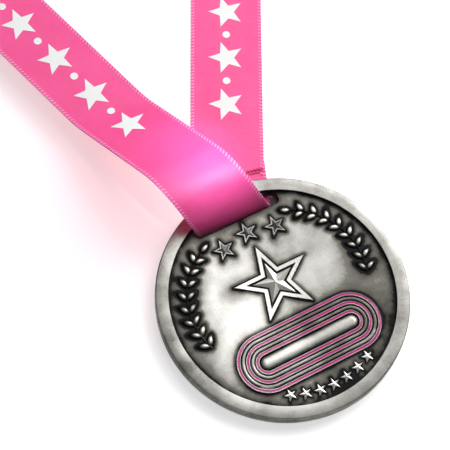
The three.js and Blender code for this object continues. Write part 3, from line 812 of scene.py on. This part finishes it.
def patina_and_shade_at(point, tree):
    """How dark the plating is at a point of the level medal: its patina, with painted shade on the
    side wall and in the slot.
    """
    x, y, z = point
    out = math.hypot(x, y)
    height = z - FIELD_Z
    if z < 0:
        return BACK_PATINA
    # The slot's walls: patina and painted shade, near black
    if slot_room(x, y) < SLOT_EDGE_ROUND and height < -SLOT_EDGE_ROUND / 2:
        return SLOT_PATINA_AND_SHADE
    # The side wall: painted shade
    if out > MEDAL_RADIUS - RIM_EDGE_RADIUS and height < RIM_DEPTH - RIM_EDGE_RADIUS:
        return WALL_PAINTED_SHADE
    if out > FIELD_RADIUS - 0.01:
        return RIM_PATINA - RIM_POLISH * min(1.0, max(0.0, height / RIM_DEPTH))
    if height > 0.03:
        low, high = polished_heights(x, y)
        share = min(1.0, max(0.0, (height - low) / (high - low)))
        return RELIEF_PATINA * (1 - share * share * (3 - 2 * share))
    return field_patina(x, y, tree)


def cut_by(piece, cutter):
    """The mesh of a piece less a cutter. Both objects are used up."""
    modifier = piece.modifiers.new("slot", "BOOLEAN")
    modifier.operation = "DIFFERENCE"
    modifier.solver = "EXACT"
    modifier.object = cutter
    graph = bpy.context.evaluated_depsgraph_get()
    mesh = bpy.data.meshes.new_from_object(piece.evaluated_get(graph))
    bpy.data.objects.remove(piece)
    bpy.data.objects.remove(cutter)
    return mesh


def make_medal():
    blank = Shells()
    blank.loft(turned(casting_profile(), ROUND_STEPS))
    cutter = slot_cutter()
    mesh = cut_by(blank.piece("medal_blank", CASTING), cutter.piece("slot_cutter", CASTING))
    whole = Shells()
    points = [np.array(v.co) / MM for v in mesh.vertices]
    whole.add(points, [list(face.vertices) for face in mesh.polygons])
    raised = relief()
    whole.add(raised.points, raised.faces)
    medal = whole.piece("medal", CASTING, LEANED)
    tree = outline_tree(raised)
    level_points = np.array([v.co for v in medal.data.vertices]) @ np.array(LEANED) / MM
    # The patina attribute: the plating's patina, with painted shade on the side wall and in the
    # slot
    patina = medal.data.attributes.new("patina", "FLOAT", "POINT")
    patina.data.foreach_set("value", [patina_and_shade_at(point, tree) for point in level_points])
    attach(medal, "medal")
    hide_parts("medal_body")


def make_enamel():
    """The pools of enamel, each a little hollow, in the track's lines and in the small stars."""
    half = ENAMEL_WIDTH / 2 - ENAMEL_GAP
    low = LINE_HEIGHT - ENAMEL_DEPTH + ENAMEL_GAP
    top = LINE_HEIGHT - ENAMEL_DROP
    for line, name in enumerate(("outer", "middle", "inner")):
        section = [(-half, low), (-half, top)]
        for u in (-0.75, -0.4, 0, 0.4, 0.75):
            section.append((half * u, top - ENAMEL_HOLLOW * (1 - u * u)))
        section += [(half, top), (half, low)]
        shells = Shells()
        stadium_band(shells, line_radius(line), section)
        pool = shells.piece("track_pool_" + name, PINK_ENAMEL, LEANED)
        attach(pool, "medal")
        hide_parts("track_enamel_" + name)
    for place, name in zip(inset_places(), ("left", "middle", "right")):
        radius = star_offset(INSET_RADIUS, -ENAMEL_GAP)
        inner = star_offset(radius, -POOL_EDGE_IN)
        rings = [star_points(place, radius, FIELD_Z + up) for up in (ENAMEL_GAP, top)]
        rings.append(star_points(place, inner, FIELD_Z + top - POOL_EDGE_DROP))
        shells = Shells()
        shells.loft(rings)
        pool = shells.piece("star_pool_" + name, BLACK_ENAMEL, LEANED)
        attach(pool, "medal")
        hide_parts("star_enamel_" + name)


# The ribbon


def turn_about(axis, angles, vectors):
    """Vectors turned about a unit axis, each by its own angle."""
    cos = np.cos(angles)[:, None]
    sin = np.sin(angles)[:, None]
    along = (vectors @ axis)[:, None]
    return vectors * cos + np.cross(axis, vectors) * sin + axis * along * (1 - cos)


class FoldedStrip:
    """A strip bent and folded without stretching, as in the CAD model.

    A point of the flat strip is (along, across, above). Each bend is a crease line across it that
    is rolled over a radius. From the last bend back, each one turns everything ahead of it.
    """

    def __init__(self, origin, heading, up):
        self.axes = np.stack([heading, np.cross(up, heading), up])
        self.origin = origin
        self.length = 0.0
        self.bends = []

    def straight(self, length):
        self.length += length

    def bend(self, turn, radius, crease):
        roll = abs(turn) * radius
        self.bends.append((self.length, turn, radius, crease, roll))
        self.length += roll / math.cos(crease)

    def place(self, points):
        points = np.array(points, float)
        flat = points.copy()
        for at, turn, radius, crease, roll in reversed(self.bends):
            forward = level(crease)
            axis = np.array([math.sin(crease), -math.cos(crease), 0.0])
            centre = np.array([at, 0, math.copysign(radius, turn)])
            ahead = (flat[:, 0] - at) * math.cos(crease) + flat[:, 1] * math.sin(crease)
            rolled = np.clip(ahead, 0, roll)
            moved = points - rolled[:, None] * forward - centre
            moved = turn_about(axis, turn * rolled / roll, moved) + centre
            points = np.where(ahead[:, None] > 0, moved, points)
        return points @ self.axes + self.origin

    def direction(self, vector):
        vector = np.array([vector], float)
        for at, turn, radius, crease, roll in reversed(self.bends):
            axis = np.array([math.sin(crease), -math.cos(crease), 0.0])
            vector = turn_about(axis, np.array([turn]), vector)
        return vector[0] @ self.axes

    def end(self):
        return self.place([(self.length, 0, 0)])[0]

    def heading(self):
        return self.direction((1, 0, 0))

    def up(self):
        return self.direction((0, 0, 1))

    def straight_to_y(self, y):
        self.straight((y - self.end()[1]) / self.heading()[1])

    def angle_to(self, direction):
        ahead = self.heading()
        across = np.cross(self.up(), ahead)
        return math.atan2(direction @ across, direction @ ahead)

    def fold_under(self, heading, radius):
        """Folds the strip flat towards the table, to run on along a new heading."""
        crease = self.angle_to(self.heading() - heading)
        self.bend(-math.copysign(math.pi, self.up()[2]), radius, crease)


CREASE_HEADING = level(WRAP_SKEW)
CREASE_SQUARE = level(WRAP_SKEW + math.pi / 2)
SEAM_HEADING = level(SEAM_TURN)
SEAM_SQUARE = level(SEAM_TURN + math.pi / 2)
RIBBON_MIDDLE_Z = TABLE_Z + RIBBON_THICKNESS / 2
SLOT_RISE = RIM_Z - HUMP_SINK - RIBBON_MIDDLE_Z - SLOT_BEND


def slot_place():
    """Where the strip's middle line turns up into the slot, with room left at the slot's end."""
    oblique = RIBBON_WIDTH / math.cos(WRAP_ANGLE)
    drift = math.tan(WRAP_ANGLE) * (RIM_Z - TABLE_Z - SLOT_BEND)
    low_side = SLOT_MIDDLE - SLOT_HEIGHT / 2 + SLOT_GAP + RIBBON_THICKNESS / 2
    x = -SLOT_LENGTH / 2 + END_ROOM + oblique / 2 + drift
    y = low_side + oblique / 2 * math.sin(abs(WRAP_SKEW))
    return np.array([x, y, RIBBON_MIDDLE_Z])


def start_ribbon():
    """The strip's lower end, from behind the seam to the slot."""
    place = slot_place()
    run = SEAM_DISTANCE + TAIL_LENGTH - place @ CREASE_SQUARE - SLOT_BEND
    quarter = SLOT_BEND * math.pi / 2
    along = place @ CREASE_HEADING + math.tan(WRAP_ANGLE) * (run + quarter)
    origin = CREASE_HEADING * along + CREASE_SQUARE * (SEAM_DISTANCE + TAIL_LENGTH)
    origin[2] = RIBBON_MIDDLE_Z
    strip = FoldedStrip(origin, level(WRAP_SKEW - math.pi / 2 - WRAP_ANGLE), np.array([0.0, 0, 1]))
    strip.straight(run / math.cos(WRAP_ANGLE))
    return strip


def lay_ribbon(span, overhang):
    """The whole strip, with its folds as far apart as the span and an overhang at each side."""
    strip = start_ribbon()
    hump_z = RIBBON_MIDDLE_Z + SLOT_BEND + SLOT_RISE + HUMP_RADIUS
    front_z = RIBBON_MIDDLE_Z + (FOLDED_RUNS + 1) * FOLD_PITCH
    eased = (HUMP_RADIUS + LANDING_RADIUS) * (1 - math.cos(HUMP_FALL))
    strip.bend(math.pi / 2, SLOT_BEND, WRAP_ANGLE)
    strip.straight(SLOT_RISE / math.cos(WRAP_ANGLE))
    strip.bend(math.pi / 2 + HUMP_FALL, HUMP_RADIUS, WRAP_ANGLE)
    strip.straight((hump_z - front_z - eased) / math.sin(HUMP_FALL) / math.cos(WRAP_ANGLE))
    strip.bend(-HUMP_FALL, LANDING_RADIUS, WRAP_ANGLE)
    strip.straight_to_y(FOLD_DISTANCE)
    for run in range(FOLDED_RUNS):
        strip.fold_under(level(math.pi if run % 2 else 0), FOLD_PITCH / 2)
        outer = run in (0, FOLDED_RUNS - 1)
        strip.straight(span + (overhang if outer else 2 * overhang))
    strip.fold_under(level(-math.pi / 2 - BACK_LEAN), FOLD_PITCH / 2)
    climb = math.acos(1 - (RIBBON_THICKNESS + PLY_GAP) / (2 * RISE_RADIUS))
    upwards = math.copysign(1, strip.up()[2])
    strip.straight_to_y(SEAM_DISTANCE + TAIL_LENGTH + RISE_LENGTH)
    strip.bend(upwards * climb, RISE_RADIUS, 0)
    strip.bend(-upwards * climb, RISE_RADIUS, 0)
    strip.straight_to_y(SEAM_DISTANCE - SEAM_MARGIN)
    return strip


def seam_middle():
    """The middle of the seam, on the strip's lower end."""
    strip = start_ribbon()
    start = strip.place([(0, 0, 0)])[0]
    heading = strip.axes[0]
    return start + heading * (SEAM_DISTANCE - start[1]) / heading[1] + np.array([SEAM_SHIFT, 0, 0])


def closed_ribbon():
    """The strip at its full length, with both ends meeting at the seam."""
    open_strip = lay_ribbon(0, 0)
    end = open_strip.end()
    heading = open_strip.heading()
    middle = seam_middle()
    span = middle[0] - end[0] - (middle[1] - end[1]) * heading[0] / heading[1]
    overhang = (RIBBON_LENGTH - lay_ribbon(span, 0).length) / (2 * FOLDED_RUNS - 2)
    return lay_ribbon(span, overhang)


def strip_rows(strip):
    """Places along the strip with the slant of each row, close in the bends and near the medal.

    Near the medal the ribbon bends as it swings, and wide rows would cut through the print there.
    """
    end_crease = strip.angle_to(-SEAM_SQUARE)
    stations = [(0.0, 0.0)]
    for at, turn, radius, crease, roll in strip.bends:
        along = roll / math.cos(crease)
        steps = max(3, math.ceil(abs(turn) / BEND_STEP))
        stations += [(at + along * i / steps, crease) for i in range(steps + 1)]
    stations.append((strip.length, end_crease))
    rows = []
    for (start, first), (stop, last) in zip(stations, stations[1:]):
        swings = start < SWING_REACH or stop > strip.length - SWING_REACH
        steps = max(1, math.ceil((stop - start) / (ROW_PITCH / 2 if swings else ROW_PITCH)))
        for i in range(steps):
            share = i / steps
            slant = math.tan(first) + share * (math.tan(last) - math.tan(first))
            rows.append((start + (stop - start) * share, slant))
    rows.append((strip.length, math.tan(end_crease)))
    return np.array(rows)


def with_strip(piece, flat):
    """Stores each vertex's place on the flat strip, for the weave."""
    attribute = piece.data.attributes.new("strip", "FLOAT_VECTOR", "POINT")
    attribute.data.foreach_set("vector", np.asarray(flat, np.float32).ravel())


def cloth_piece(name, flat, faces, strip, material, sharp=60 * DEGREE):
    """A piece of the ribbon, from flat points and faces, laid on the strip."""
    mesh = bpy.data.meshes.new(name)
    mesh.from_pydata((strip.place(flat) * MM).tolist(), [], faces)
    piece = smooth_piece(mesh, name, material, sharp)
    with_strip(piece, flat)
    return piece


def ribbon_cloth(strip):
    """The satin itself, a closed strip with its edges finer than its middle."""
    rows = strip_rows(strip)
    half = RIBBON_WIDTH / 2
    thick = RIBBON_THICKNESS / 2
    across = half * np.sin(np.linspace(-90, 90, 21) * DEGREE)
    ring = [(w, thick) for w in across] + [(w, -thick) for w in across[::-1]]
    flat = []
    for at, slant in rows:
        flat += [(at - w * slant, w, h) for w, h in ring]
    around = len(ring)
    faces = []
    for r in range(len(rows) - 1):
        for i in range(around):
            j = (i + 1) % around
            a = r * around
            faces.append((a + i, a + around + i, a + around + j, a + j))
    faces.append(tuple(range(around)))
    faces.append(tuple(reversed(range((len(rows) - 1) * around, len(rows) * around))))
    return cloth_piece("ribbon", flat, faces, strip, SATIN)


def selvedge_stitches(strip):
    """The slanted threads that bind the ribbon's edges, each a flat loop round one of them."""
    inner = RIBBON_WIDTH / 2 - SELVEDGE_REACH
    outer = RIBBON_WIDTH / 2 + SELVEDGE_OVERHANG
    proud = RIBBON_THICKNESS / 2 + SELVEDGE_PROUD
    top = [(inner, proud - 0.06, -0.3), (inner + 0.35, proud, -0.18), (outer - 0.15, proud, 0.12)]
    section = top + [(outer, 0.0, 0.2)] + [(out, -up, lean) for out, up, lean in reversed(top)]
    flat = []
    faces = []
    count = len(section)
    for side in (-1, 1):
        for at in np.arange(SELVEDGE_END_ROOM, strip.length - SELVEDGE_END_ROOM, SELVEDGE_PITCH):
            first = len(flat)
            for step in (-SELVEDGE_HALF_STEP, SELVEDGE_HALF_STEP):
                flat += [(at + lean + step, side * out, up) for out, up, lean in section]
            for i in range(count - 1):
                quad = (first + i, first + i + 1, first + count + i + 1, first + count + i)
                faces.append(quad if side < 0 else tuple(reversed(quad)))
    return cloth_piece("ribbon_selvedge", flat, faces, strip, SELVEDGE, 50 * DEGREE)


def clear_of_bends(strip, at, reach):
    """Whether a print of some reach has an open stretch of the strip to itself."""
    for bend_at, turn, radius, crease, roll in strip.bends:
        slack = reach + RIBBON_WIDTH / 2 * abs(math.tan(crease))
        if abs(turn) > PRINT_STEEPEST_BEND and bend_at - slack < at < bend_at + roll + slack:
            return False
    return PRINT_START_ROOM < at < strip.length - PRINT_END_ROOM


def print_outlines():
    """The outlines of a printed star and a printed dot, each round its own middle."""
    star = []
    for i in range(10):
        angle = i * math.pi / 5
        reach = PRINT_RADIUS * (PRINT_SHARE if i % 2 else 1)
        star.append(reach * np.array([math.sin(angle), math.cos(angle)]))
    outline = []
    for here, there in zip(star, star[1:] + star[:1]):
        outline += [here + (there - here) * share for share in (0, 0.25, 0.5, 0.75)]
    angles = np.linspace(0, 2 * math.pi, 16, endpoint=False)
    dot = [PRINT_DOT_RADIUS * np.array([math.sin(angle), math.cos(angle)]) for angle in angles]
    return outline, dot


def printed_stars(strip):
    """White stars and dots printed along the ribbon's outer face, clear of its creases."""
    lift = RIBBON_THICKNESS / 2 + PRINT_LIFT
    star, dot = print_outlines()
    flat = []
    faces = []

    def shape(at, outline):
        first = len(flat)
        flat.append((at, 0, -lift))
        count = len(outline)
        for share in np.arange(1, PRINT_RINGS + 1) / PRINT_RINGS:
            flat.extend((at + share * x, share * y, -lift) for x, y in outline)
        for i in range(count):
            j = (i + 1) % count
            faces.append((first, first + 1 + j, first + 1 + i))
            for ring in range(PRINT_RINGS - 1):
                a = first + 1 + ring * count
                faces.append((a + i, a + j, a + count + j, a + count + i))

    for at in (np.arange(int(strip.length / PRINT_PITCH)) + 0.5) * PRINT_PITCH:
        if clear_of_bends(strip, at, PRINT_RADIUS):
            shape(at, star)
            if clear_of_bends(strip, at + PRINT_PITCH / 2, PRINT_DOT_ROOM):
                shape(at + PRINT_PITCH / 2, dot)
    return cloth_piece("ribbon_print", flat, faces, strip, PRINT)


def seam_stitches():
    """A row of zigzag stitches that binds the edge of the ribbon's upper end."""
    middle = seam_middle()
    middle[2] = TABLE_Z + 2 * RIBBON_THICKNESS + 2 * PLY_GAP + THREAD_RADIUS
    reach = RIBBON_WIDTH / math.cos(BACK_LEAN + SEAM_TURN) / 2 - STITCH_EDGE_ROOM
    stitches = round(2 * reach / STITCH_PITCH)
    path = []
    for share in np.linspace(0, 1, STITCH_STEPS * stitches + 1):
        sway = STITCH_SWAY / 2 * math.sin(2 * math.pi * stitches * share)
        bob = STITCH_BOB * math.cos(4 * math.pi * stitches * share)
        point = middle + SEAM_HEADING * reach * (2 * share - 1) + SEAM_SQUARE * sway
        path.append(point + np.array([0, 0, bob]))
    path = np.array(path)
    ahead = np.gradient(path, axis=0)
    ahead /= np.linalg.norm(ahead, axis=1)[:, None]
    side = np.cross(ahead, (0, 0, 1))
    side /= np.linalg.norm(side, axis=1)[:, None]
    top = np.cross(side, ahead)
    angles = np.linspace(0, 2 * math.pi, THREAD_SIDES, endpoint=False)
    rings = [
        [p + THREAD_RADIUS * (math.cos(a) * s + math.sin(a) * t) for a in angles]
        for p, s, t in zip(path, side, top)
    ]
    shells = Shells()
    shells.loft(rings)
    piece = shells.piece("seam", THREAD, sharp=60 * DEGREE)
    points = np.array([v.co for v in piece.data.vertices]) / MM
    with_strip(piece, points)
    return piece


def make_ribbon():
    """The ribbon and what is on it, which take the place of the CAD ribbon and seam."""
    strip = closed_ribbon()
    cloth = ribbon_cloth(strip)
    selvedge = selvedge_stitches(strip)
    stars = printed_stars(strip)
    seam = seam_stitches()
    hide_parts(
        "ribbon_lower_end",
        "ribbon_slot_loop",
        "ribbon_front_strand",
        "ribbon_folded_length",
        "ribbon_back_strand",
    )
    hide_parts("seam_thread")
    for piece in (cloth, selvedge, stars, seam):
        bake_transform(piece)


# The floor, the lamps and the camera

# Sizes and places on the set, in metres, and the world's glow from its edge to overhead
FLOOR_SIZE = 6
FLOOR_DROP = 0.0001
# UNDER_MEDAL: the distances out over which the floor's painted shade under the medal fades
UNDER_MEDAL = (0.031, 0.035)
# The middle of the floor's painted pink shadow beside the hump
PINK_SHADOW_PLACE = (-0.022, 0.052, 0)
WORLD_GLOW = {"From Min": 0.1, "From Max": 1.0, "To Min": 0.1, "To Max": 0.38}


def make_floor():
    """A white floor that keeps its shadows, with a painted pink shadow beside the hump.

    Its glow is seen but lights nothing. Under the medal it is painted dark grey and its glow is
    off, a painted shade so that the slot stays dark.
    """
    shader = Shader("floor")
    shader.set(Roughness=0.8)
    path = shader.node("LightPath").outputs
    seen = shader.sum("MAXIMUM", path["Is Camera Ray"], path["Is Glossy Ray"])
    seen = shader.sum("MAXIMUM", seen, path["Is Transmission Ray"])
    # Painted shade: under the medal the floor is dark grey and does not glow
    open_floor = shader.span(shader.length(shader.place()), *UNDER_MEDAL)
    strength = shader.sum("MULTIPLY", shader.sum("MULTIPLY", seen, 0.5), open_floor)
    glow = shader.node("Emission", Color=grey(1.0), Strength=strength)
    # Painted pink shadow: the floor's colour turns pink near the hump, where the ribbon's shadow
    # falls
    from_hump = shader.node("VectorMath", {"operation": "DISTANCE"}, Vector=shader.place())
    from_hump.inputs[1].default_value = PINK_SHADOW_PLACE
    painted_pink_shadow = shader.span(from_hump.outputs["Value"], 0.01, 0.06, 1.0, 0.0)
    white = shader.mix(painted_pink_shadow, grey(0.9), PINK_SHADOW_TINT)
    shader.set(Base_Color=shader.mix(open_floor, grey(0.2), white))
    both = shader.node("AddShader")
    shader.feed(both.inputs[0], shader.surface.outputs[0])
    shader.feed(both.inputs[1], glow.outputs[0])
    shader.feed(shader.output.inputs["Surface"], both.outputs[0])
    height = TABLE_Z * MM - FLOOR_DROP
    bpy.ops.mesh.primitive_plane_add(size=FLOOR_SIZE, location=(0, 0, height))
    floor = bpy.context.object
    floor.name = "floor"
    floor.data.materials.append(shader.material)
    floor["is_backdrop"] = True


def hang_lamp(lamp, place, target, power, colour):
    """Hangs a lamp at one place and points it at another."""
    lamp.energy = power
    lamp.color = colour
    holder = bpy.data.objects.new(lamp.name, lamp)
    holder.location = place
    holder.rotation_euler = (Vector(target) - Vector(place)).to_track_quat("-Z", "Y").to_euler()
    bpy.context.scene.collection.objects.link(holder)


def add_panel(name, place, target, width, height, power):
    lamp = bpy.data.lights.new(name, "AREA")
    lamp.shape = "RECTANGLE"
    lamp.size = width
    lamp.size_y = height
    hang_lamp(lamp, place, target, power, (1, 1, 1))


def add_spot(name, place, target, radius, cone, power, colour):
    lamp = bpy.data.lights.new(name, "SPOT")
    lamp.shadow_soft_size = radius
    lamp.spot_size = cone
    lamp.spot_blend = 0.7
    hang_lamp(lamp, place, target, power, colour)


def make_light():
    """A world that is brighter overhead, three panels, and a spot for the lilac on the hump."""
    world = bpy.data.worlds.new("studio")
    world.use_nodes = True
    bpy.context.scene.world = world
    tree = world.node_tree
    background = tree.nodes["Background"].inputs
    way = tree.nodes.new("ShaderNodeSeparateXYZ")
    tree.links.new(tree.nodes.new("ShaderNodeTexCoord").outputs["Generated"], way.inputs[0])
    glow = tree.nodes.new("ShaderNodeMapRange")
    tree.links.new(way.outputs["Z"], glow.inputs["Value"])
    for name, value in WORLD_GLOW.items():
        glow.inputs[name].default_value = value
    tree.links.new(glow.outputs["Result"], background["Strength"])
    background["Color"].default_value = grey(1.0)
    add_panel("key", (0.5, 0.2, 0.42), (0, 0.06, 0), width=0.45, height=0.45, power=4.2)
    add_panel("back", (0.164, 0.495, 0.52), (0, 0.045, 0.015), width=0.24, height=0.24, power=0.5)
    add_panel("glint", (0.02, 0.045, 0.15), (0.02, 0.045, 0), width=0.024, height=0.08, power=0.027)
    add_spot(
        "sheen",
        place=(0.12, -0.2, 0.66),
        target=(-0.003, 0.042, 0.0115),
        radius=0.01,
        cone=2.2 * DEGREE,
        power=36.0,
        colour=(0.62, 0.78, 0.9),
    )


def make_camera():
    camera = bpy.data.cameras.new("camera")
    camera.lens = CAMERA_LENS
    camera.sensor_width = CAMERA_SENSOR
    camera.clip_start = 0.01
    holder = bpy.data.objects.new("camera", camera)
    holder.location = Vector(CAMERA_PLACE) * MM
    holder.rotation_euler = Euler([angle * DEGREE for angle in CAMERA_TURN])
    bpy.context.scene.collection.objects.link(holder)
    bpy.context.scene.camera = holder


make_camera()
make_ribbon()
make_medal()
make_enamel()
make_floor()
make_light()
bpy.context.scene.view_settings.view_transform = "Standard"

size["visual"] = [[float(x) for x in corner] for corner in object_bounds()]
